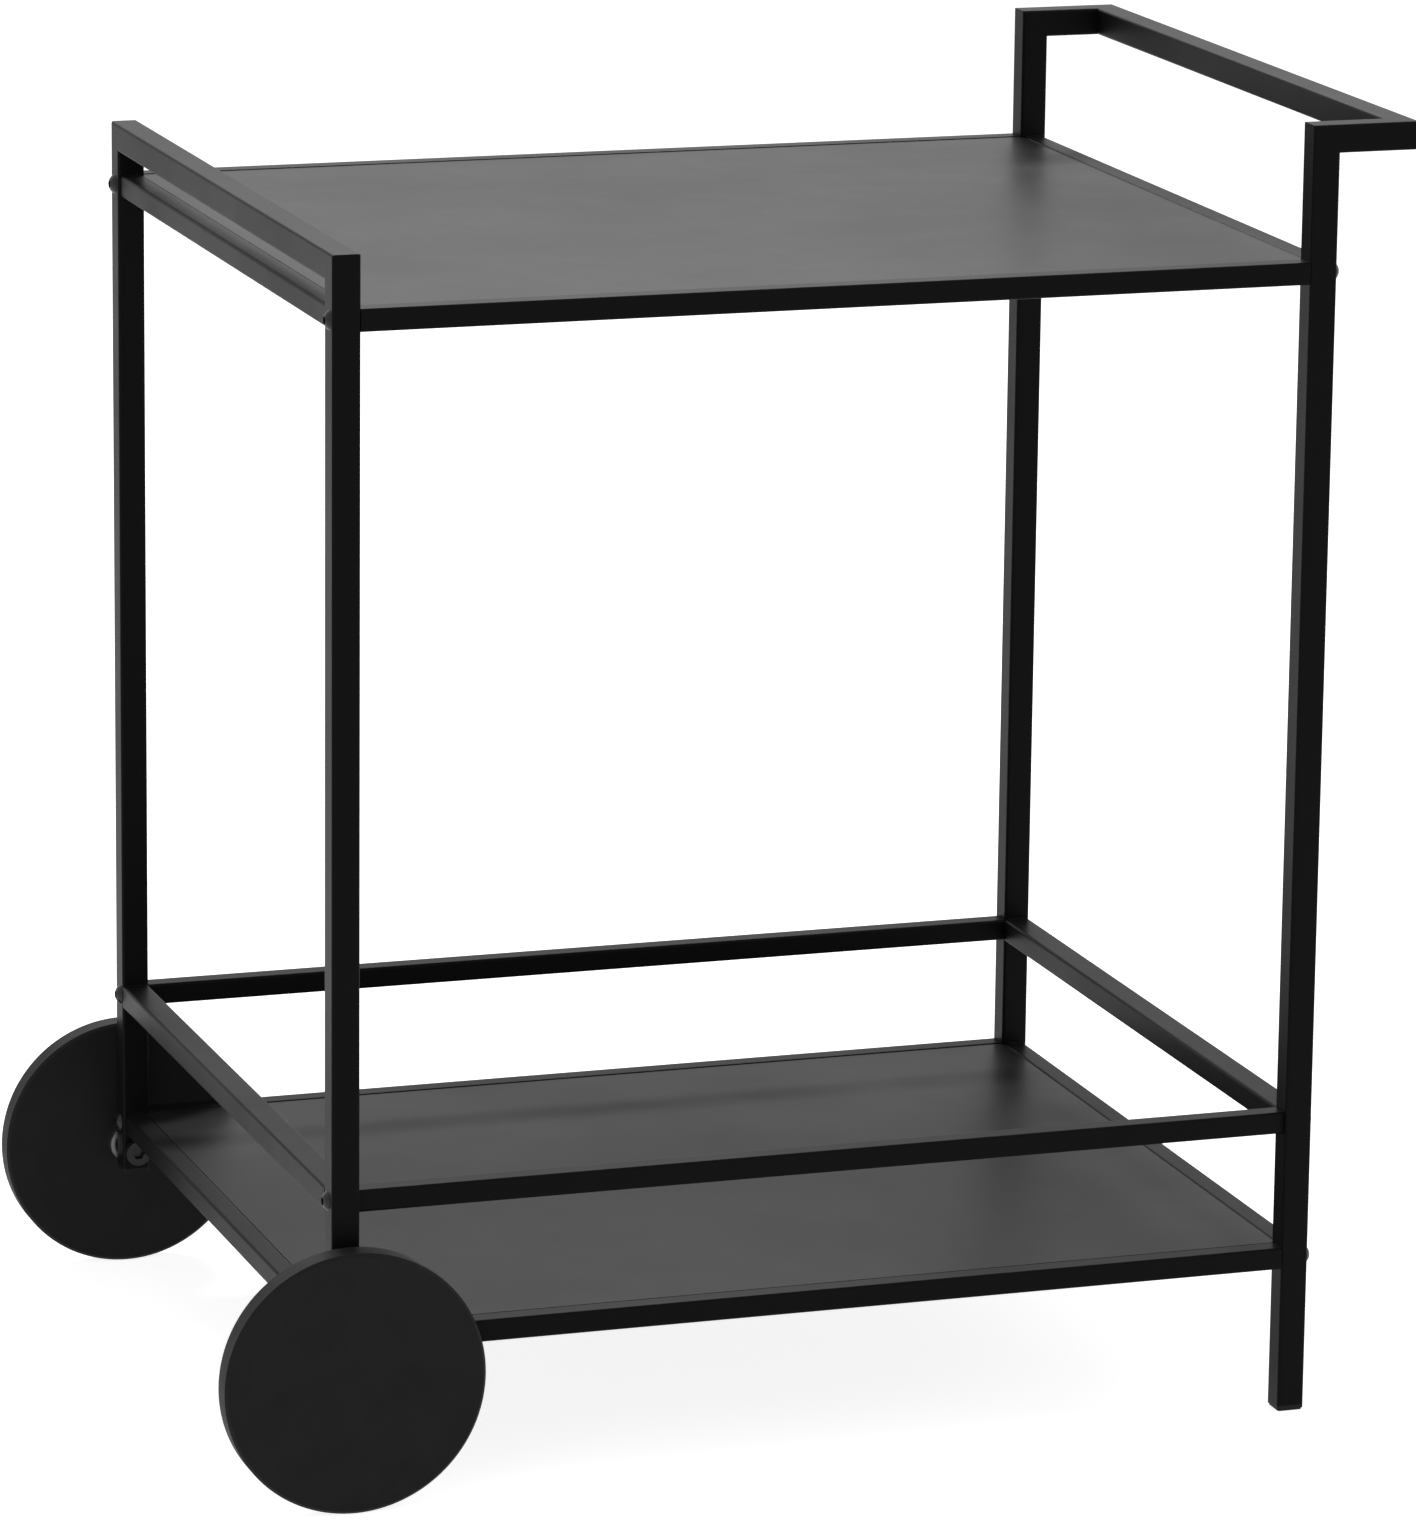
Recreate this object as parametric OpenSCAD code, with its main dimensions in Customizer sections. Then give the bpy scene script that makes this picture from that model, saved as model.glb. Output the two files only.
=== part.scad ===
// Two-shelf trolley: two welded end frames, two sheet-steel shelves, a rail ring and two disc wheels.
// X runs along the length, from the wheel end (-X) to the handle end (+X). Y is the depth, Z is up.
// The origin is on the floor, at the middle of the overall length and depth.
// Sizes are worked out from the middle of the posts, and place() then shifts each piece to the origin.

/* [Overall] */
// Length over the outer faces of the corner posts
body_l = 545; // [450:1:650]
// Depth over the outer faces of the corner posts
body_w = 440; // [340:1:520]
// Height of the handle's top face
handle_h = 700; // [690:1:780]
// Height of the wheel end frame's top face
end_h = 656; // [650:1:680]
// How far the handle stands out past the legs
handle_reach = 45; // [36:1:80]

/* [Shelves] */
// Height of the upper shelf's top face
shelf_h = 628; // [560:1:630]
// Height of the rail ring's top face
ring_h = 167; // [150:1:220]
// Height of the lower shelf's top face
low_h = 92; // [90:1:110]
// Thickness of the shelf sheet
sheet_t = 1.5; // [1:0.1:2]
// How far the sheet lies below the tube's top face
sheet_drop = 0.4; // [0.2:0.1:0.8]
// Open gap between the sheet and the long tube in front of it and behind it
sheet_gap = 0.8; // [0.4:0.1:1.5]

/* [Tube] */
// Width of the post tube
post = 15; // [15:0.5:18]
// Width of the shelf and rail tube
rail = 12; // [11:0.5:13]
// Height of the rail ring's end tubes
end_rail_h = 13; // [12:0.5:15]
// Wall of every tube
wall = 1.2; // [1:0.1:1.5]
// Outside corner radius of every tube
corner = 1.5; // [1.4:0.1:2]

/* [Wheels] */
// Radius of each wheel
wheel_r = 70; // [62:0.5:72]
// Thickness of each wheel
wheel_t = 15; // [14:0.5:26]
// Gap between a post and the wheel's inner face
wheel_gap = 5; // [4:0.5:10]
// Radius of the axle bolt's shank
axle_r = 4; // [3:0.5:4.5]
// Radial running clearance of the axle in its bush
axle_clear = 0.05; // [0.02:0.01:0.1]

/* [Fasteners] */
// Radius of a joint screw's shank
screw_r = 3; // [2.5:0.5:3]
// Radius of a joint screw's button head
head_r = 5.3; // [5:0.1:6]
// Height of a joint screw's button head
head_t = 3; // [2.5:0.1:3.3]

/* [Hidden] */
$fn = 48;
x_out = body_l / 2;
y_out = body_w / 2;
x_mid = x_out - post / 2;
x_shift = (x_mid + wheel_r - x_out - handle_reach) / 2;
y_mid = y_out - post / 2;
rail_len = body_l - 2 * post;
end_len = body_w - 2 * post;
post_bottom = wheel_r - 12;
glide_t = 3;
plug_t = 2;
bush_r = axle_r + 2;
flange_t = 1;
end_gap = 0.3;
insert_len = 12;
hub_r = 7;
hub_len = 10;
shelf_z = shelf_h - rail / 2;
low_z = low_h - rail / 2;
ring_z = ring_h - rail / 2;
shelf_y = y_out - rail / 2;
ring_y = y_out - post + rail / 2;
screw_rows = [[shelf_y, shelf_z], [ring_y, ring_z], [shelf_y, low_z]];
body_black = "#2b2b2d";

// Shifts a piece so that the overall length is centred on the origin.
module place() {
    translate([x_shift, 0, 0])
        children();
}

// A square with round corners, centred on the origin.
module round_square(w, h, r) {
    square([w - 2 * r, h], center = true);
    square([w, h - 2 * r], center = true);
    for (sx = [-1, 1], sy = [-1, 1])
        translate([sx * (w / 2 - r), sy * (h / 2 - r)])
            circle(r = r);
}

// A tube's section: outside corners rounded, hollow inside.
module tube_section(w, h) {
    difference() {
        round_square(w, h, corner);
        square([w - 2 * wall, h - 2 * wall], center = true);
    }
}

module tube_z(w, len) {
    linear_extrude(height = len)
        tube_section(w, w);
}

// A tube along X, centred on the origin. w runs along Y and h along Z.
module tube_x(w, h, len) {
    rotate([90, 0, 90])
        linear_extrude(height = len, center = true)
            tube_section(w, h);
}

// A tube along Y, centred on the origin. w runs along X and h along Z.
module tube_y(w, h, len) {
    rotate([90, 0, 0])
        linear_extrude(height = len, center = true)
            tube_section(w, h);
}

// A block on the +Z side of the origin, turned and taken away to cut a mitre.
module cutter(size = 60) {
    translate([-size / 2, -size / 2, 0])
        cube(size);
}

// Clearance holes for the joint screws, along X through a post at the given depth position.
module screw_holes(x, side) {
    for (row = screw_rows)
        translate([x, side * row[0], row[1]])
            rotate([0, 90, 0])
                cylinder(r = screw_r + 0.2, h = post + 4, center = true);
}

// Wheel-end post: mitred at the top, bored for the axle bush and for the screws.
module wheel_post(side) {
    color(body_black)
    difference() {
        translate([-x_mid, side * y_mid, post_bottom + plug_t])
            tube_z(post, end_h - post_bottom - plug_t);
        translate([-x_mid, side * y_mid, end_h - post / 2])
            rotate([side * 45, 0, 0])
                cutter();
        translate([-x_mid, side * y_mid, wheel_r])
            rotate([90, 0, 0])
                cylinder(r = bush_r, h = post + 4, center = true);
        screw_holes(-x_mid, side);
    }
}

// Handle-end leg: runs from the glide up to the handle's mitre.
module handle_leg(side) {
    color(body_black)
    difference() {
        translate([x_mid, side * y_mid, glide_t])
            tube_z(post, handle_h - glide_t);
        translate([x_mid, side * y_mid, handle_h - post / 2])
            rotate([0, 45, 0])
                cutter();
        screw_holes(x_mid, side);
    }
}

// Wheel-end top bar, mitred onto both posts.
module top_bar() {
    color(body_black)
    difference() {
        translate([-x_mid, 0, end_h - post / 2])
            tube_y(post, post, body_w);
        for (side = [-1, 1])
            translate([-x_mid, side * y_mid, end_h - post / 2])
                rotate([side * -135, 0, 0])
                    cutter();
    }
}

// Handle arm: leaves the leg's mitre along +X and meets the crossbar in a second mitre.
module handle_arm(side) {
    arm_len = handle_reach + post;
    color(body_black)
    difference() {
        translate([x_out - post + arm_len / 2, side * y_mid, handle_h - post / 2])
            tube_x(post, post, arm_len);
        translate([x_mid, side * y_mid, handle_h - post / 2])
            rotate([0, -135, 0])
                cutter();
        translate([x_out + handle_reach - post / 2, side * y_mid, handle_h - post / 2])
            rotate([0, 90, -side * 45])
                cutter();
    }
}

// Handle crossbar, mitred onto both arms.
module handle_bar() {
    color(body_black)
    difference() {
        translate([x_out + handle_reach - post / 2, 0, handle_h - post / 2])
            tube_y(post, post, body_w);
        for (side = [-1, 1])
            translate([x_out + handle_reach - post / 2, side * y_mid, handle_h - post / 2])
                rotate([0, 90, 180 - side * 45])
                    cutter();
    }
}

// Shelf sheet, welded to the end tubes, with a notch at each post.
module sheet(top) {
    x_in = x_out - (post - rail) / 2 - rail;
    y_in = y_out - rail - sheet_gap;
    color(body_black)
    translate([0, 0, top - sheet_drop - sheet_t])
        linear_extrude(height = sheet_t)
            difference() {
                square([2 * x_in, 2 * y_in], center = true);
                for (sx = [-1, 1], sy = [-1, 1])
                    translate([sx * x_mid, sy * y_mid])
                        square(post, center = true);
            }
}

// Long shelf tube, flush with the posts' outer faces.
module shelf_tube(side, top) {
    color(body_black)
    translate([0, side * shelf_y, top - rail / 2])
        tube_x(rail, rail, rail_len);
}

// Shelf's end tube, welded between two posts.
module shelf_end(side, top) {
    color(body_black)
    translate([side * x_mid, 0, top - rail / 2])
        tube_y(rail, rail, end_len);
}

// Long tube of the rail ring, flush with the posts' inner faces.
module ring_tube(side) {
    color(body_black)
    translate([0, side * ring_y, ring_z])
        tube_x(rail, rail, rail_len);
}

// End tube of the rail ring, as wide as the posts.
module ring_end(side) {
    color(body_black)
    translate([side * x_mid, 0, ring_h - end_rail_h / 2])
        tube_y(post, end_rail_h, end_len);
}

// Button-head screw along X with its head on the +X side of the origin and a hex socket.
module joint_screw() {
    dome_r = (head_r * head_r + head_t * head_t) / (2 * head_t);
    rotate([0, 90, 0])
    difference() {
        union() {
            intersection() {
                cylinder(r = head_r, h = head_t);
                translate([0, 0, head_t - dome_r])
                    sphere(r = dome_r);
            }
            translate([0, 0, -(post + insert_len - 2)])
                cylinder(r = screw_r, h = post + insert_len - 1.9);
        }
        translate([0, 0, head_t - 1.8])
            cylinder(d = 4.6, h = 4, $fn = 6);
    }
}

module joint_screws(side) {
    color("#1d1d1f")
    for (row = screw_rows, sy = [-1, 1])
        translate([side * x_out, sy * row[0], row[1]])
            rotate([0, 0, side > 0 ? 0 : 180])
                joint_screw();
}

// Threaded plugs fixed in the ends of the long tubes.
module inserts(side) {
    in_w = rail - 2 * wall;
    color("#8a8a86")
    for (row = screw_rows, sy = [-1, 1])
        translate([side * (rail_len / 2 - insert_len / 2), sy * row[0], row[1]])
            difference() {
                cube([insert_len, in_w, in_w], center = true);
                rotate([0, 90, 0])
                    cylinder(r = screw_r, h = insert_len + 2, center = true);
            }
}

// Plastic plugs that close the bottoms of the wheel-end posts.
module post_plugs() {
    color("#161617")
    for (side = [-1, 1])
        translate([-x_mid, side * y_mid, post_bottom]) {
            linear_extrude(height = plug_t)
                round_square(post, post, corner);
            linear_extrude(height = plug_t + 3)
                square(post - 2 * wall, center = true);
        }
}

// Plastic glides in the feet of the handle-end legs.
module leg_glides() {
    color("#161617")
    for (side = [-1, 1])
        translate([x_mid, side * y_mid, 0]) {
            linear_extrude(height = 1)
                round_square(post - 1.2, post - 1.2, corner);
            translate([0, 0, 1])
                linear_extrude(height = glide_t - 1)
                    round_square(post, post, corner);
            translate([0, 0, 1])
                linear_extrude(height = 16)
                    square(post - 2 * wall, center = true);
        }
}

// Nylon bushes through the wheel-end posts, flanged on the wheel's side.
module axle_bushes() {
    color("#3a3a3c")
    for (side = [-1, 1])
        translate([-x_mid, side * y_out, wheel_r])
            rotate([side * 90, 0, 0])
                difference() {
                    union() {
                        cylinder(r = bush_r, h = post);
                        translate([0, 0, -flange_t])
                            cylinder(r = bush_r + 2.5, h = flange_t);
                    }
                    translate([0, 0, -5])
                        cylinder(r = axle_r + axle_clear, h = post + 10);
                }
}

// Places a wheel piece: local +Z points from the post outward and z = 0 is the post's outer face.
module at_axle(side) {
    translate([-x_mid, side * y_out, wheel_r])
        rotate([side * -90, 0, 0])
            children();
}

// Solid wheel with a blank outer face, bevelled rims and a blind hub bore.
module wheel_disc(side) {
    bevel = 1.5;
    hub = hub_len;
    color("#29292b")
    at_axle(side)
        translate([0, 0, wheel_gap])
            rotate_extrude($fn = 160)
                polygon([
                    [0, hub], [hub_r, hub], [hub_r, 0],
                    [wheel_r - bevel, 0], [wheel_r, bevel],
                    [wheel_r, wheel_t - bevel], [wheel_r - bevel, wheel_t],
                    [0, wheel_t]
                ]);
}

// Threaded metal hub in the wheel's blind bore.
module wheel_hub(side) {
    color("#9a9a96")
    at_axle(side)
        translate([0, 0, wheel_gap])
            difference() {
                cylinder(r = hub_r, h = hub_len);
                translate([0, 0, -1])
                    cylinder(r = axle_r, h = hub_len + 2);
            }
}

// Axle bolt: its head is on the post's inner side and its shank ends in the wheel's hub.
module axle_bolt(side) {
    head_h = 5;
    color("#1d1d1f")
    at_axle(side)
        translate([0, 0, -post - end_gap - head_h])
            difference() {
                union() {
                    cylinder(r = 7, h = head_h);
                    cylinder(r = axle_r, h = head_h + end_gap + post + wheel_gap + hub_len - 1);
                }
                translate([0, 0, -1])
                    cylinder(d = 7, h = 4, $fn = 6);
            }
}

// Washer between the bush's flange and the wheel.
module spacer(side) {
    from = flange_t + end_gap;
    color("#55555a")
    at_axle(side)
        translate([0, 0, from])
            difference() {
                cylinder(r = 10.5, h = wheel_gap - from);
                translate([0, 0, -1])
                    cylinder(r = axle_r, h = wheel_gap + 2);
            }
}

place() wheel_post(-1);  // post_near
place() wheel_post(1);  // post_far
place() handle_leg(-1);  // leg_near
place() handle_leg(1);  // leg_far
place() top_bar();
place() handle_arm(-1);  // handle_arm_near
place() handle_arm(1);  // handle_arm_far
place() handle_bar();
place() sheet(shelf_h);  // shelf_sheet
place() shelf_tube(-1, shelf_h);  // shelf_tube_front
place() shelf_tube(1, shelf_h);  // shelf_tube_back
place() shelf_end(-1, shelf_h);  // shelf_end_wheel
place() shelf_end(1, shelf_h);  // shelf_end_handle
place() sheet(low_h);  // low_sheet
place() shelf_tube(-1, low_h);  // low_tube_front
place() shelf_tube(1, low_h);  // low_tube_back
place() shelf_end(-1, low_h);  // low_end_wheel
place() shelf_end(1, low_h);  // low_end_handle
place() ring_tube(-1);  // ring_front
place() ring_tube(1);  // ring_back
place() ring_end(-1);  // ring_end_wheel
place() ring_end(1);  // ring_end_handle
place() joint_screws(-1);  // screws_wheel_end
place() joint_screws(1);  // screws_handle_end
place() inserts(-1);  // inserts_wheel_end
place() inserts(1);  // inserts_handle_end
place() post_plugs();
place() leg_glides();
place() axle_bushes();
place() wheel_disc(-1);  // near_wheel_disc
place() wheel_hub(-1);  // near_wheel_hub
place() axle_bolt(-1);  // near_axle_bolt
place() spacer(-1);  // near_spacer
place() wheel_disc(1);  // far_wheel_disc
place() wheel_hub(1);  // far_wheel_hub
place() axle_bolt(1);  // far_axle_bolt
place() spacer(1);  // far_spacer
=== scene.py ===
"""Finish, welds, stage and lights for a two-shelf steel trolley with disc wheels."""

import bmesh
import bpy
import numpy as np
from bpy.props import FloatProperty, FloatVectorProperty, PointerProperty
from mathutils import Matrix, Vector


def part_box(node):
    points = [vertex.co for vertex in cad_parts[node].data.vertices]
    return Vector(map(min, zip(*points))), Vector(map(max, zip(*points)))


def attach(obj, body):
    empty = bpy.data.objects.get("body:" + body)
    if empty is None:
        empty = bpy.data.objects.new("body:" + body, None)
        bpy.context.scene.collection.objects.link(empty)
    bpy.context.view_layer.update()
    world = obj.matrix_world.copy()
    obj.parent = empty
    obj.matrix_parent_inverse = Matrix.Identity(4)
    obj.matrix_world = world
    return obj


bl_info = {
    "name": "Steel Trolley",
    "version": (1, 0, 0),
    "blender": (4, 5, 0),
    "location": "View3D > Sidebar > Trolley",
    "description": "Builds the finishes, weld beads and studio of a two-shelf trolley",
    "category": "Object",
}

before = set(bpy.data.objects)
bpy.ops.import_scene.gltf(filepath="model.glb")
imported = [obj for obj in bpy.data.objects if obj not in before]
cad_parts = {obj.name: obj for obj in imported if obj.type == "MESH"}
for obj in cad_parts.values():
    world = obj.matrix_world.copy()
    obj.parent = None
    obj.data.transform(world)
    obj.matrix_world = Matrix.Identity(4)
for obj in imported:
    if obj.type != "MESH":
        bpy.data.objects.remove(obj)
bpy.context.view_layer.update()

# How far a weld bead stops short of the tube's rounded corners, in metres
BEAD_INSET = 0.0017
# Height of the floor, a hair below the feet
FLOOR_HEIGHT = -0.0003
# Half the floor's width and its points a side
FLOOR_REACH = 9
FLOOR_POINTS = 13
DUST_COLOUR = (0.16, 0.155, 0.15, 1)
FRAME_NODES = ("post_near", "post_far", "leg_", "top_bar", "handle_", "shelf_tube",
               "shelf_end", "low_tube", "low_end", "ring_")


# ---------------------------------------------------------------- sizes and colours

class TrolleyFinish(bpy.types.PropertyGroup):
    """Colours and gloss of the trolley's finishes"""

    frame_colour: FloatVectorProperty(
        name="Frame colour", description="Powder coat on the tubes",
        default=(0.0075, 0.0075, 0.008), size=3, min=0, max=1, subtype="COLOR")
    shelf_colour: FloatVectorProperty(
        name="Shelf colour", description="Powder coat on the shelf sheets",
        default=(0.0125, 0.0125, 0.0132), size=3, min=0, max=1, subtype="COLOR")
    wheel_colour: FloatVectorProperty(
        name="Wheel colour", description="Moulded wheel compound",
        default=(0.0115, 0.0115, 0.0119), size=3, min=0, max=1, subtype="COLOR")
    frame_roughness: FloatProperty(
        name="Frame roughness", description="Roughness of the powder coat on the tubes",
        default=0.4, min=0, max=1, subtype="FACTOR")
    shelf_roughness: FloatProperty(
        name="Shelf roughness", description="Roughness of the powder coat on the sheets",
        default=0.36, min=0, max=1, subtype="FACTOR")
    grain_size: FloatProperty(
        name="Grain size", description="Size of the coat's orange-peel grain",
        default=0.0016, min=0.0002, max=0.01, unit="LENGTH")


class TrolleyWelds(bpy.types.PropertyGroup):
    """Sizes of the weld beads"""

    bead_radius: FloatProperty(
        name="Bead radius", description="Half the width of a weld bead",
        default=0.0011, min=0.0004, max=0.003, unit="LENGTH")
    ripple_pitch: FloatProperty(
        name="Ripple pitch", description="Length of one ripple along a bead",
        default=0.0014, min=0.0005, max=0.004, unit="LENGTH")


class TrolleyStage(bpy.types.PropertyGroup):
    """Camera and light of the studio"""

    camera_place: FloatVectorProperty(
        name="Camera place", description="Where the camera stands",
        default=(-1.3654, -4.0452, 1.3565), size=3, subtype="TRANSLATION", unit="LENGTH")
    camera_aim: FloatVectorProperty(
        name="Camera direction", description="Which way the camera looks",
        default=(0.313454, 0.920239, -0.234321), size=3, subtype="XYZ")
    camera_roll: FloatProperty(
        name="Camera roll", description="Turn of the camera about its own line of sight",
        default=0.0117, subtype="ANGLE", unit="ROTATION")
    lens: FloatProperty(
        name="Lens", description="Focal length on a 36 mm long side, in millimetres",
        default=190.66, min=20, max=400)
    light_level: FloatProperty(
        name="Light level", description="Strength of the world's light",
        default=0.25, min=0, max=3)


# ---------------------------------------------------------------- node helpers

class Nodes:
    """A node tree with short ways to add and join nodes."""

    def __init__(self, tree):
        self.tree = tree

    def add(self, kind, **values):
        node = self.tree.nodes.new(kind)
        for key, value in values.items():
            if hasattr(node, key):
                setattr(node, key, value)
            else:
                node.inputs[key.replace("_", " ")].default_value = value
        return node

    def join(self, source, target):
        self.tree.links.new(source, target)

    def math(self, operation, a, b):
        node = self.add("ShaderNodeMath", operation=operation)
        for socket, value in zip(node.inputs, (a, b)):
            if isinstance(value, (int, float)):
                socket.default_value = value
            else:
                self.join(value, socket)
        return node.outputs[0]

    def noise(self, vector, scale, detail=3.0, roughness=0.55):
        node = self.add("ShaderNodeTexNoise")
        node.inputs["Scale"].default_value = scale
        node.inputs["Detail"].default_value = detail
        node.inputs["Roughness"].default_value = roughness
        self.join(vector, node.inputs["Vector"])
        return node.outputs["Fac"]

    def fit(self, value, low, high, to_low, to_high):
        node = self.add("ShaderNodeMapRange")
        self.join(value, node.inputs["Value"])
        for name, number in (("From Min", low), ("From Max", high),
                             ("To Min", to_low), ("To Max", to_high)):
            node.inputs[name].default_value = number
        return node.outputs["Result"]

    def mix(self, factor, first, second, blend="MIX"):
        node = self.add("ShaderNodeMix", data_type="RGBA", blend_type=blend)
        pairs = ((0, factor), (6, first), (7, second))
        for index, value in pairs:
            if isinstance(value, bpy.types.NodeSocket):
                self.join(value, node.inputs[index])
            else:
                node.inputs[index].default_value = value
        return node.outputs[2]


def new_group(name, inputs, outputs):
    """An empty shader group with the named sockets."""
    group = bpy.data.node_groups.new(name, "ShaderNodeTree")
    for label, kind, value in inputs:
        socket = group.interface.new_socket(label, in_out="INPUT", socket_type=kind)
        socket.default_value = value
    for label, kind in outputs:
        group.interface.new_socket(label, in_out="OUTPUT", socket_type=kind)
    nodes = Nodes(group)
    return group, nodes, nodes.add("NodeGroupInput").outputs, nodes.add("NodeGroupOutput").inputs


def group_coat_grain():
    """Powder coat: a fine orange-peel height, a cloudy tone and a slow drift of roughness.

    The tone is the colour times one plus cloud and speck noise; the height is two noises added.
    """
    group, n, given, out = new_group(
        "Coat grain",
        [("Colour", "NodeSocketColor", (0.02, 0.02, 0.02, 1)),
         ("Roughness", "NodeSocketFloat", 0.4),
         ("Grain size", "NodeSocketFloat", 0.0016),
         ("Tone drift", "NodeSocketFloat", 0.12)],
        [("Colour", "NodeSocketColor"), ("Roughness", "NodeSocketFloat"),
         ("Height", "NodeSocketFloat")])
    place = n.add("ShaderNodeTexCoord").outputs["Object"]
    shrink = n.add("ShaderNodeVectorMath", operation="DIVIDE")
    n.join(place, shrink.inputs[0])
    n.join(given["Grain size"], shrink.inputs[1])
    peel = n.noise(shrink.outputs[0], 1.0, 2.0, 0.5)
    speck = n.noise(shrink.outputs[0], 3.4, 2.0, 0.6)
    cloud = n.noise(place, 9.0, 3.0, 0.6)
    tone = n.math("ADD", n.math("MULTIPLY", n.math("SUBTRACT", cloud, 0.5), given["Tone drift"]),
                  n.math("MULTIPLY", n.math("SUBTRACT", speck, 0.5), 0.14))
    shade = n.add("ShaderNodeVectorMath", operation="SCALE")
    n.join(given["Colour"], shade.inputs[0])
    n.join(n.math("ADD", tone, 1.0), shade.inputs["Scale"])
    n.join(shade.outputs[0], out["Colour"])
    drift = n.fit(cloud, 0.3, 0.7, -0.035, 0.045)
    n.join(n.math("ADD", given["Roughness"], drift), out["Roughness"])
    n.join(n.math("ADD", peel, n.math("MULTIPLY", speck, 0.35)), out["Height"])
    return group


def group_dust():
    """A thin dust mask that lies on faces that look up."""
    group, n, given, out = new_group(
        "Settled dust",
        [("Amount", "NodeSocketFloat", 0.1)],
        [("Mask", "NodeSocketFloat")])
    place = n.add("ShaderNodeTexCoord").outputs["Object"]
    facing = n.add("ShaderNodeSeparateXYZ")
    n.join(n.add("ShaderNodeNewGeometry").outputs["Normal"], facing.inputs[0])
    up = n.fit(facing.outputs["Z"], 0.6, 1.0, 0.0, 1.0)
    patch = n.fit(n.noise(place, 16.0, 4.0, 0.65), 0.42, 0.75, 0.15, 1.0)
    n.join(n.math("MULTIPLY", n.math("MULTIPLY", up, patch), given["Amount"]), out["Mask"])
    return group


def group_moulded():
    """Moulded compound: a mottled tone and a fine matte texture."""
    group, n, given, out = new_group(
        "Moulded texture",
        [("Colour", "NodeSocketColor", (0.02, 0.02, 0.02, 1)),
         ("Roughness", "NodeSocketFloat", 0.6),
         ("Mottle", "NodeSocketFloat", 0.25),
         ("Grain size", "NodeSocketFloat", 0.0006)],
        [("Colour", "NodeSocketColor"), ("Roughness", "NodeSocketFloat"),
         ("Height", "NodeSocketFloat")])
    place = n.add("ShaderNodeTexCoord").outputs["Object"]
    cloud = n.noise(place, 38.0, 5.0, 0.65)
    shrink = n.add("ShaderNodeVectorMath", operation="DIVIDE")
    n.join(place, shrink.inputs[0])
    n.join(given["Grain size"], shrink.inputs[1])
    fine = n.noise(shrink.outputs[0], 1.0, 2.0, 0.6)
    tone = n.math("MULTIPLY", n.math("SUBTRACT", cloud, 0.5), given["Mottle"])
    shade = n.add("ShaderNodeVectorMath", operation="SCALE")
    n.join(given["Colour"], shade.inputs[0])
    n.join(n.math("ADD", tone, 1.0), shade.inputs["Scale"])
    n.join(shade.outputs[0], out["Colour"])
    n.join(n.math("ADD", given["Roughness"], n.fit(cloud, 0.3, 0.7, 0.05, -0.06)), out["Roughness"])
    n.join(fine, out["Height"])
    return group


GROUPS = {}
GROUP_MAKERS = {"coat": group_coat_grain, "dust": group_dust, "moulded": group_moulded}


def shared(name):
    """The shared effect of that name, built on first use."""
    if name not in GROUPS:
        GROUPS[name] = GROUP_MAKERS[name]()
    return GROUPS[name]


def place_group(nodes, name, **values):
    """Puts a shared effect into a material with its own values."""
    node = nodes.add("ShaderNodeGroup")
    node.node_tree = shared(name)
    for key, value in values.items():
        node.inputs[key.replace("_", " ").capitalize()].default_value = value
    return node


def new_material(name):
    """A new material, its nodes and its shader."""
    material = bpy.data.materials.new(name)
    material.use_nodes = True
    nodes = Nodes(material.node_tree)
    return material, nodes, material.node_tree.nodes["Principled BSDF"]


def add_bump(nodes, shader, height, strength, distance):
    """Feeds a height into the shader's normal."""
    bump = nodes.add("ShaderNodeBump")
    bump.inputs["Strength"].default_value = strength
    bump.inputs["Distance"].default_value = distance
    nodes.join(height, bump.inputs["Height"])
    nodes.join(bump.outputs["Normal"], shader.inputs["Normal"])


def powder_coat(name, colour, roughness, grain, dust, drift, bump=0.22, gloss=0.07):
    """Satin black powder coat over steel, with grain, a little settled dust and tone drift."""
    material, n, shader = new_material(name)
    coat = place_group(n, "coat", colour=(*colour, 1), roughness=roughness,
                       grain_size=grain, tone_drift=drift)
    settled = place_group(n, "dust", amount=dust)
    n.join(n.mix(settled.outputs["Mask"], coat.outputs["Colour"], DUST_COLOUR),
           shader.inputs["Base Color"])
    n.join(n.math("ADD", coat.outputs["Roughness"],
                  n.math("MULTIPLY", settled.outputs["Mask"], 0.5)), shader.inputs["Roughness"])
    shader.inputs["Specular IOR Level"].default_value = gloss
    add_bump(n, shader, coat.outputs["Height"], bump, 0.00006)
    return material


def moulded(name, colour, roughness, mottle, grain, bump=0.25):
    """Matte moulded plastic or rubber."""
    material, n, shader = new_material(name)
    skin = place_group(n, "moulded", colour=(*colour, 1), roughness=roughness,
                       mottle=mottle, grain_size=grain)
    n.join(skin.outputs["Colour"], shader.inputs["Base Color"])
    n.join(skin.outputs["Roughness"], shader.inputs["Roughness"])
    shader.inputs["Specular IOR Level"].default_value = 0.15
    add_bump(n, shader, skin.outputs["Height"], bump, 0.00005)
    return material


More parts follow.
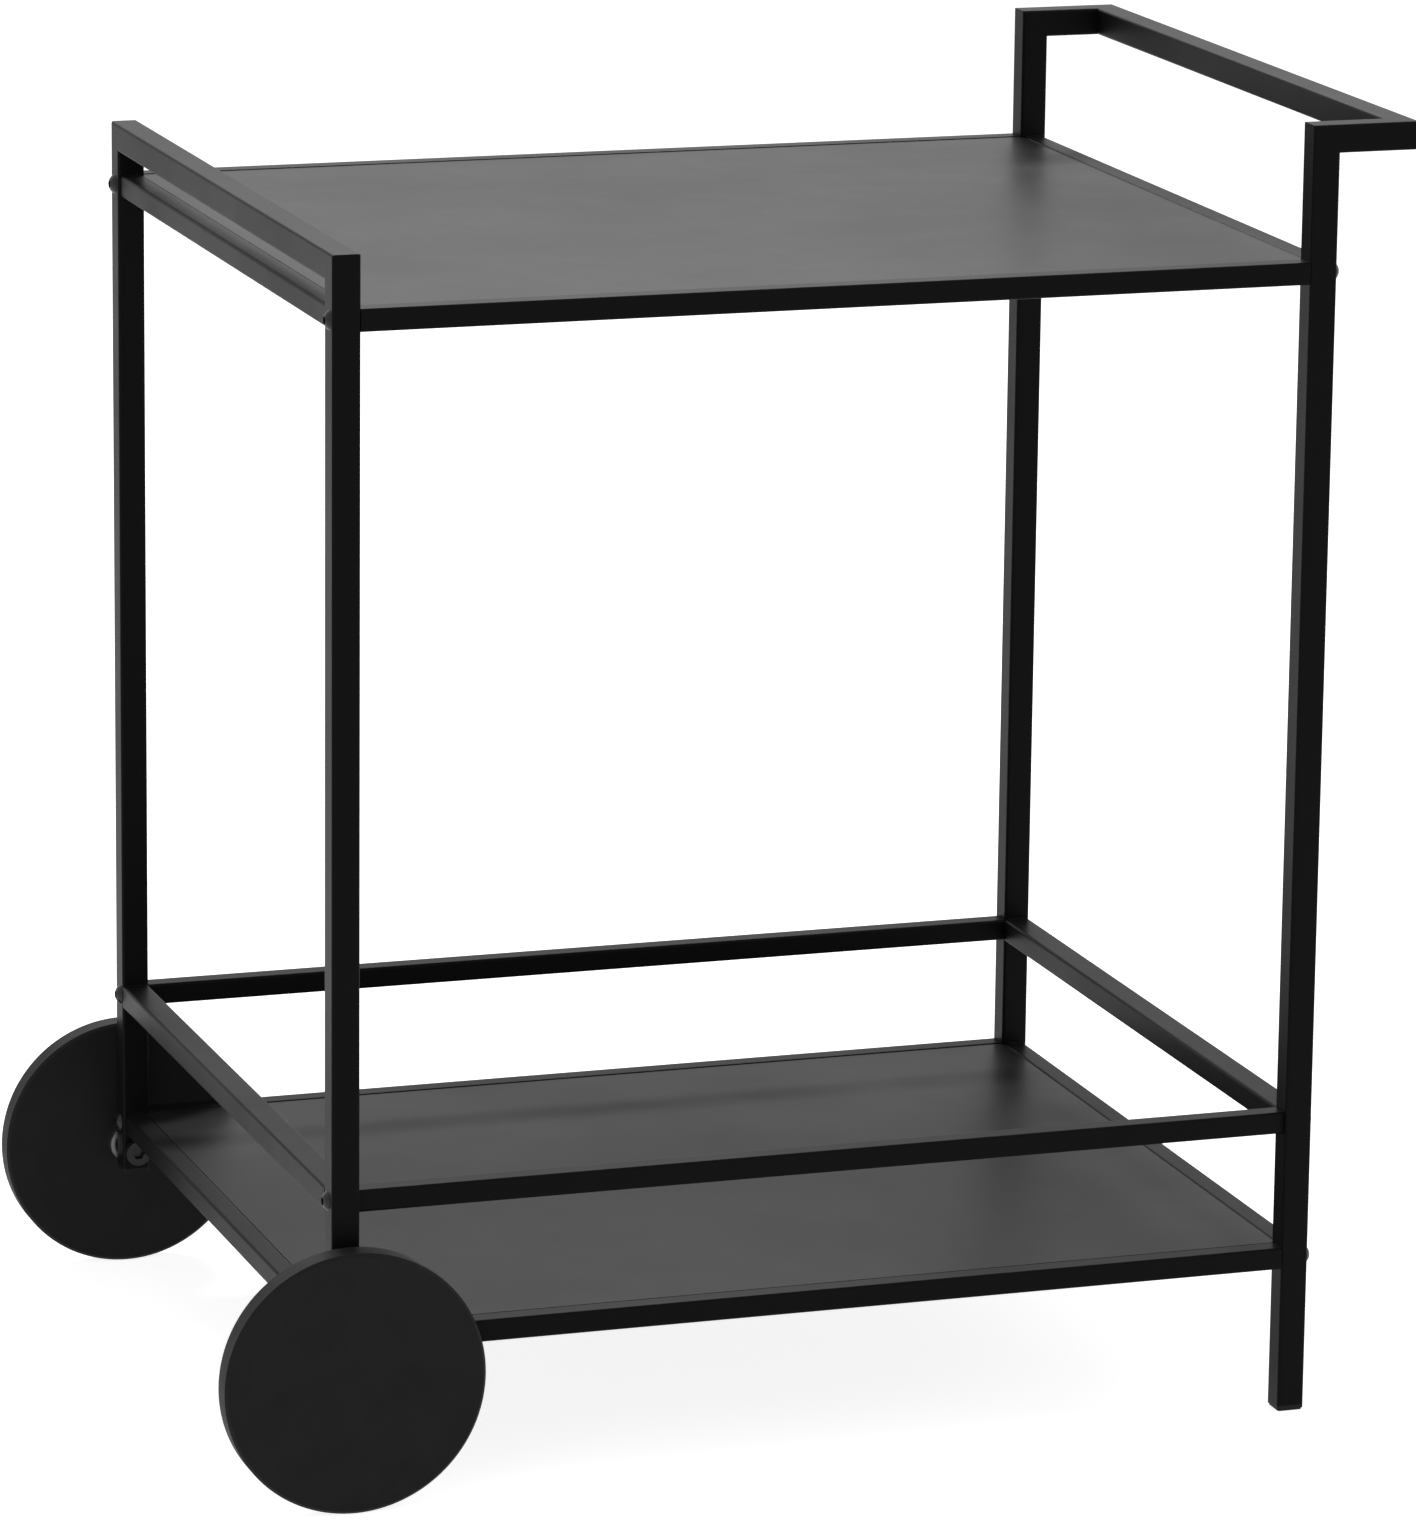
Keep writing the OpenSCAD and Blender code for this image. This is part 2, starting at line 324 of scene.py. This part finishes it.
def plated_steel(name, colour, roughness):
    """Zinc-plated steel with fine drawn lines and cloudy dulling."""
    material, n, shader = new_material(name)
    place = n.add("ShaderNodeTexCoord").outputs["Object"]
    cloud = n.noise(place, 120.0, 4.0, 0.6)
    lines = n.noise(place, 2600.0, 2.0, 0.5)
    bright = n.fit(cloud, 0.3, 0.7, 0.8, 1.1)
    shade = n.add("ShaderNodeVectorMath", operation="SCALE")
    shade.inputs[0].default_value = colour
    n.join(bright, shade.inputs["Scale"])
    n.join(shade.outputs[0], shader.inputs["Base Color"])
    n.join(n.fit(cloud, 0.3, 0.7, roughness + 0.1, roughness - 0.05), shader.inputs["Roughness"])
    shader.inputs["Metallic"].default_value = 1.0
    add_bump(n, shader, lines, 0.2, 0.00002)
    return material


def dress(material, *names):
    """Gives CAD nodes one material."""
    for name in names:
        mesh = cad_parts[name].data
        mesh.materials.clear()
        mesh.materials.append(material)


# ---------------------------------------------------------------- weld beads

def bead_surface(start, end, out, radius, pitch, seed):
    """A weld bead along the line from start to end, lying in the corner that opens towards out.

    The spine point is start + s (end - start). Round it runs a half-ring of angle a, from one side
    through out to the other, and stands four fifths as high as it is wide to each side. The ring's
    radius is the bead radius, times one plus a small cosine of
    the distance along the bead over the pitch, plus a slow wander, and it closes to a quarter at
    each end. A flat base joins the half-ring's two feet, so that the bead is a closed solid.
    """
    start, end, out = (np.array(p, float) for p in (start, end, out))
    along = end - start
    length = np.linalg.norm(along)
    along /= length
    out /= np.linalg.norm(out)
    side = np.cross(along, out)
    rings = max(12, int(length / pitch * 3))
    ring = 9
    s = np.linspace(0, 1, rings)[:, None]
    a = np.linspace(-np.pi / 2, np.pi / 2, ring)[None, :]
    ripple = 1 + 0.10 * np.cos(2 * np.pi * s * length / pitch) + 0.06 * np.sin(9 * s + seed)
    ends = 0.25 + 0.75 * np.sqrt(np.clip(1 - np.abs(2 * s - 1) ** 24, 0, 1))
    r = radius * ripple * ends
    spine = start + (s * length)[:, :, None] * along
    points = spine + (r * np.cos(a))[:, :, None] * out * 0.8 + (r * np.sin(a))[:, :, None] * side
    verts = points.reshape(-1, 3)
    i = np.arange(rings - 1)[:, None] * ring + np.arange(ring - 1)[None, :]
    skin = np.stack([i, i + 1, i + 1 + ring, i + ring], -1).reshape(-1, 4)
    row = np.arange(rings - 1) * ring
    under = np.stack([row + ring - 1, row, row + ring, row + 2 * ring - 1], -1)
    faces = [tuple(f) for f in np.vstack([skin, under]).tolist()]
    last = (rings - 1) * ring
    faces.append(tuple(range(ring - 1, -1, -1)))
    faces.append(tuple(range(last, last + ring)))
    return verts, faces


def join_shells(shells):
    """Several (vertices, faces) as one, each one's faces counted on from the last."""
    verts, faces, count = [], [], 0
    for v, f in shells:
        verts.append(v)
        faces += [tuple(i + count for i in face) for face in f]
        count += len(v)
    return np.vstack(verts), faces


def make_piece(name, verts, faces, material, body, slot):
    """A finished mesh object that rides on a body."""
    mesh = bpy.data.meshes.new(name)
    mesh.from_pydata(verts.tolist(), [], faces)
    mesh.materials.append(material)
    mesh.validate()
    mesh.update()
    mesh.shade_smooth()
    piece = bpy.data.objects.new(name, mesh)
    bpy.context.scene.collection.objects.link(piece)
    recalculate_outward(mesh)
    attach(piece, body)
    return piece


def recalculate_outward(mesh):
    """Turns every face of a closed mesh outward."""
    work = bmesh.new()
    work.from_mesh(mesh)
    bmesh.ops.recalc_face_normals(work, faces=work.faces)
    work.to_mesh(mesh)
    work.free()


def end_tube_beads(node, bead, pitch, seed):
    """Fillet beads along the top and bottom edges where an end tube meets its two posts."""
    low, high = (np.array(c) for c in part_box(node))
    shells = []
    for y, away in ((low[1], 1), (high[1], -1)):
        for z, up in ((low[2], -1), (high[2], 1)):
            start, end = (low[0] + BEAD_INSET, y, z), (high[0] - BEAD_INSET, y, z)
            shells.append(bead_surface(start, end, (0, away, up), bead, pitch, seed + z * 40))
    return shells


# ---------------------------------------------------------------- operators

class TROLLEY_OT_coat_frame(bpy.types.Operator):
    """Coats the posts, legs, handle, shelf tubes and rail ring"""

    bl_idname = "trolley.coat_frame"
    bl_label = "Coat the frame"

    def execute(self, context):
        look = context.scene.trolley_finish
        coat = powder_coat("Frame powder coat", look.frame_colour, look.frame_roughness,
                           look.grain_size, 0.025, 0.16, gloss=0.05)
        names = [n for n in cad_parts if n.startswith(FRAME_NODES) and n != "leg_glides"]
        if not names:
            raise RuntimeError("the frame has no tubes to coat")
        dress(coat, *names)
        return {"FINISHED"}


class TROLLEY_OT_coat_shelves(bpy.types.Operator):
    """Coats the two shelf sheets"""

    bl_idname = "trolley.coat_shelves"
    bl_label = "Coat the shelves"

    def execute(self, context):
        look = context.scene.trolley_finish
        coat = powder_coat("Shelf powder coat", look.shelf_colour, look.shelf_roughness,
                           look.grain_size, 0.05, 0.12, bump=0.16)
        dress(coat, "shelf_sheet", "low_sheet")
        return {"FINISHED"}


class TROLLEY_OT_finish_wheels(bpy.types.Operator):
    """Gives the wheels, hubs, washers, bushes and threaded inserts their finishes"""

    bl_idname = "trolley.finish_wheels"
    bl_label = "Finish the wheels"

    def execute(self, context):
        look = context.scene.trolley_finish
        dress(moulded("Wheel compound", look.wheel_colour, 0.62, 0.3, 0.0006),
              "near_wheel_disc", "far_wheel_disc")
        dress(moulded("Bush nylon", (0.03, 0.03, 0.031), 0.5, 0.1, 0.0008), "axle_bushes")
        dress(plated_steel("Plated washer", (0.42, 0.42, 0.43), 0.34), "near_spacer", "far_spacer")
        dress(plated_steel("Plated insert", (0.5, 0.5, 0.48), 0.38),
              "near_wheel_hub", "far_wheel_hub", "inserts_wheel_end", "inserts_handle_end")
        return {"FINISHED"}


class TROLLEY_OT_finish_fasteners(bpy.types.Operator):
    """Gives the screws, axle bolts, plugs and glides their finishes"""

    bl_idname = "trolley.finish_fasteners"
    bl_label = "Finish the fasteners"

    def execute(self, context):
        black = powder_coat("Black screw finish", (0.014, 0.014, 0.015), 0.3, 0.0007,
                            0.02, 0.2, bump=0.12, gloss=0.3)
        dress(black, "screws_wheel_end", "screws_handle_end", "near_axle_bolt", "far_axle_bolt")
        dress(moulded("Foot plastic", (0.012, 0.012, 0.0125), 0.55, 0.15, 0.0007),
              "post_plugs", "leg_glides")
        return {"FINISHED"}


class TROLLEY_OT_add_welds(bpy.types.Operator):
    """Adds the weld beads where the end tubes meet the posts"""

    bl_idname = "trolley.add_welds"
    bl_label = "Add the welds"

    def execute(self, context):
        sizes = context.scene.trolley_welds
        coat = bpy.data.materials["Frame powder coat"]
        groups = {
            "welds_upper_shelf": ("shelf_end_wheel", "shelf_end_handle"),
            "welds_lower_shelf": ("low_end_wheel", "low_end_handle"),
            "welds_rail_ring": ("ring_end_wheel", "ring_end_handle"),
        }
        for seed, (name, nodes) in enumerate(groups.items()):
            shells = []
            for node in nodes:
                shells += end_tube_beads(node, sizes.bead_radius, sizes.ripple_pitch, seed)
            make_piece(name, *join_shells(shells), coat, "frame", "frame_coat")
        return {"FINISHED"}


class TROLLEY_OT_set_stage(bpy.types.Operator):
    """Builds the floor, the lights and the camera"""

    bl_idname = "trolley.set_stage"
    bl_label = "Set the stage"

    def execute(self, context):
        studio = context.scene.trolley_stage
        set_floor()
        set_world(studio.light_level)
        set_lamps()
        set_camera(studio)
        context.scene.view_settings.view_transform = "Standard"
        return {"FINISHED"}


# ---------------------------------------------------------------- stage

def set_floor():
    """A wide flat floor: a grid of points a hair below height zero, clear of the feet."""
    steps = np.linspace(-FLOOR_REACH, FLOOR_REACH, FLOOR_POINTS)
    x, y = np.meshgrid(steps, steps)
    verts = np.stack([x.ravel(), y.ravel(), np.full(x.size, FLOOR_HEIGHT)], -1)
    n = len(steps)
    i = (np.arange(n - 1)[:, None] * n + np.arange(n - 1)[None, :]).ravel()
    faces = np.stack([i, i + 1, i + 1 + n, i + n], -1)
    mesh = bpy.data.meshes.new("floor")
    mesh.from_pydata(verts.tolist(), [], faces.tolist())
    floor = bpy.data.objects.new("floor", mesh)
    bpy.context.scene.collection.objects.link(floor)
    material, nodes, shader = new_material("Studio floor")
    shader.inputs["Base Color"].default_value = (0.9, 0.9, 0.9, 1)
    shader.inputs["Roughness"].default_value = 0.9
    glow = nodes.add("ShaderNodeEmission")
    glow.inputs["Strength"].default_value = 0.86
    both = nodes.add("ShaderNodeAddShader")
    only = nodes.add("ShaderNodeMixShader")
    path = nodes.add("ShaderNodeLightPath")
    seen = nodes.math("MAXIMUM", path.outputs["Is Camera Ray"],
                      nodes.math("MAXIMUM", path.outputs["Is Glossy Ray"],
                                 path.outputs["Is Transmission Ray"]))
    nodes.join(seen, only.inputs[0])
    nodes.join(shader.outputs[0], both.inputs[0])
    nodes.join(glow.outputs[0], both.inputs[1])
    nodes.join(shader.outputs[0], only.inputs[1])
    nodes.join(both.outputs[0], only.inputs[2])
    output = next(n for n in material.node_tree.nodes if n.type == "OUTPUT_MATERIAL")
    nodes.join(only.outputs[0], output.inputs["Surface"])
    mesh.materials.append(material)


def set_world(level):
    """An even pale world that shows white behind the trolley and lights it at the given level."""
    world = bpy.data.worlds.new("Studio")
    world.use_nodes = True
    nodes = Nodes(world.node_tree)
    background = world.node_tree.nodes["Background"]
    background.inputs["Color"].default_value = (1, 1, 1, 1)
    path = nodes.add("ShaderNodeLightPath")
    seen = nodes.math("MAXIMUM", path.outputs["Is Camera Ray"],
                      nodes.math("MAXIMUM", path.outputs["Is Glossy Ray"],
                                 path.outputs["Is Transmission Ray"]))
    nodes.join(nodes.fit(seen, 0, 1, level, 1.0), background.inputs["Strength"])
    bpy.context.scene.world = world


def add_lamp(name, place, aim, size, power):
    """A rectangular soft lamp at place that faces aim."""
    data = bpy.data.lights.new(name, "AREA")
    data.shape = "RECTANGLE"
    data.size, data.size_y = size
    data.energy = power
    lamp = bpy.data.objects.new(name, data)
    lamp.matrix_world = Matrix.Translation(place) @ \
        (Vector(aim) - Vector(place)).to_track_quat("-Z", "Y").to_matrix().to_4x4()
    bpy.context.scene.collection.objects.link(lamp)


def set_lamps():
    """A long soft lamp behind and above, a weaker one at the right and a weak one by the camera."""
    add_lamp("back_lamp", (0.3, 2.6, 2.6), (0, 0, 0.4), (2.4, 0.4), 60)
    add_lamp("right_lamp", (2.6, -0.6, 1.8), (0, 0, 0.35), (1.2, 1.6), 10)
    add_lamp("front_lamp", (-2.2, -2.6, 2.2), (0, 0, 0.35), (1.6, 1.6), 6)


def set_camera(studio):
    """The camera looks along camera_aim from camera_place, turned by camera_roll about that line."""
    data = bpy.data.cameras.new("camera")
    data.sensor_width = 36
    data.lens = studio.lens
    data.clip_start, data.clip_end = 0.05, 60
    camera = bpy.data.objects.new("camera", data)
    turn = Vector(studio.camera_aim).to_track_quat("-Z", "Y").to_matrix().to_4x4()
    camera.matrix_world = Matrix.Translation(studio.camera_place) @ turn @ \
        Matrix.Rotation(studio.camera_roll, 4, "Z")
    bpy.context.scene.collection.objects.link(camera)
    bpy.context.scene.camera = camera


# ---------------------------------------------------------------- panel and registration

class TROLLEY_PT_panel(bpy.types.Panel):
    """Lists the trolley's sizes, colours and building steps"""

    bl_idname = "TROLLEY_PT_panel"
    bl_label = "Trolley"
    bl_space_type = "VIEW_3D"
    bl_region_type = "UI"
    bl_category = "Trolley"

    def draw(self, context):
        for name, kind in SETTINGS:
            box = self.layout.box()
            for key in kind.__annotations__:
                box.prop(getattr(context.scene, name), key)
        for operator in OPERATORS:
            self.layout.operator(operator.bl_idname)


SETTINGS = (
    ("trolley_finish", TrolleyFinish),
    ("trolley_welds", TrolleyWelds),
    ("trolley_stage", TrolleyStage),
)
OPERATORS = (
    TROLLEY_OT_coat_frame,
    TROLLEY_OT_coat_shelves,
    TROLLEY_OT_finish_wheels,
    TROLLEY_OT_finish_fasteners,
    TROLLEY_OT_add_welds,
    TROLLEY_OT_set_stage,
)


def register():
    for name, kind in SETTINGS:
        bpy.utils.register_class(kind)
        setattr(bpy.types.Scene, name, PointerProperty(type=kind))
    for kind in (*OPERATORS, TROLLEY_PT_panel):
        bpy.utils.register_class(kind)


def unregister():
    for kind in (TROLLEY_PT_panel, *reversed(OPERATORS)):
        bpy.utils.unregister_class(kind)
    for name, kind in reversed(SETTINGS):
        delattr(bpy.types.Scene, name)
        bpy.utils.unregister_class(kind)


def main():
    """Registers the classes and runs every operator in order."""
    register()
    bpy.ops.trolley.coat_frame()
    bpy.ops.trolley.coat_shelves()
    bpy.ops.trolley.finish_wheels()
    bpy.ops.trolley.finish_fasteners()
    bpy.ops.trolley.add_welds()
    bpy.ops.trolley.set_stage()


if __name__ == "__main__":
    main()
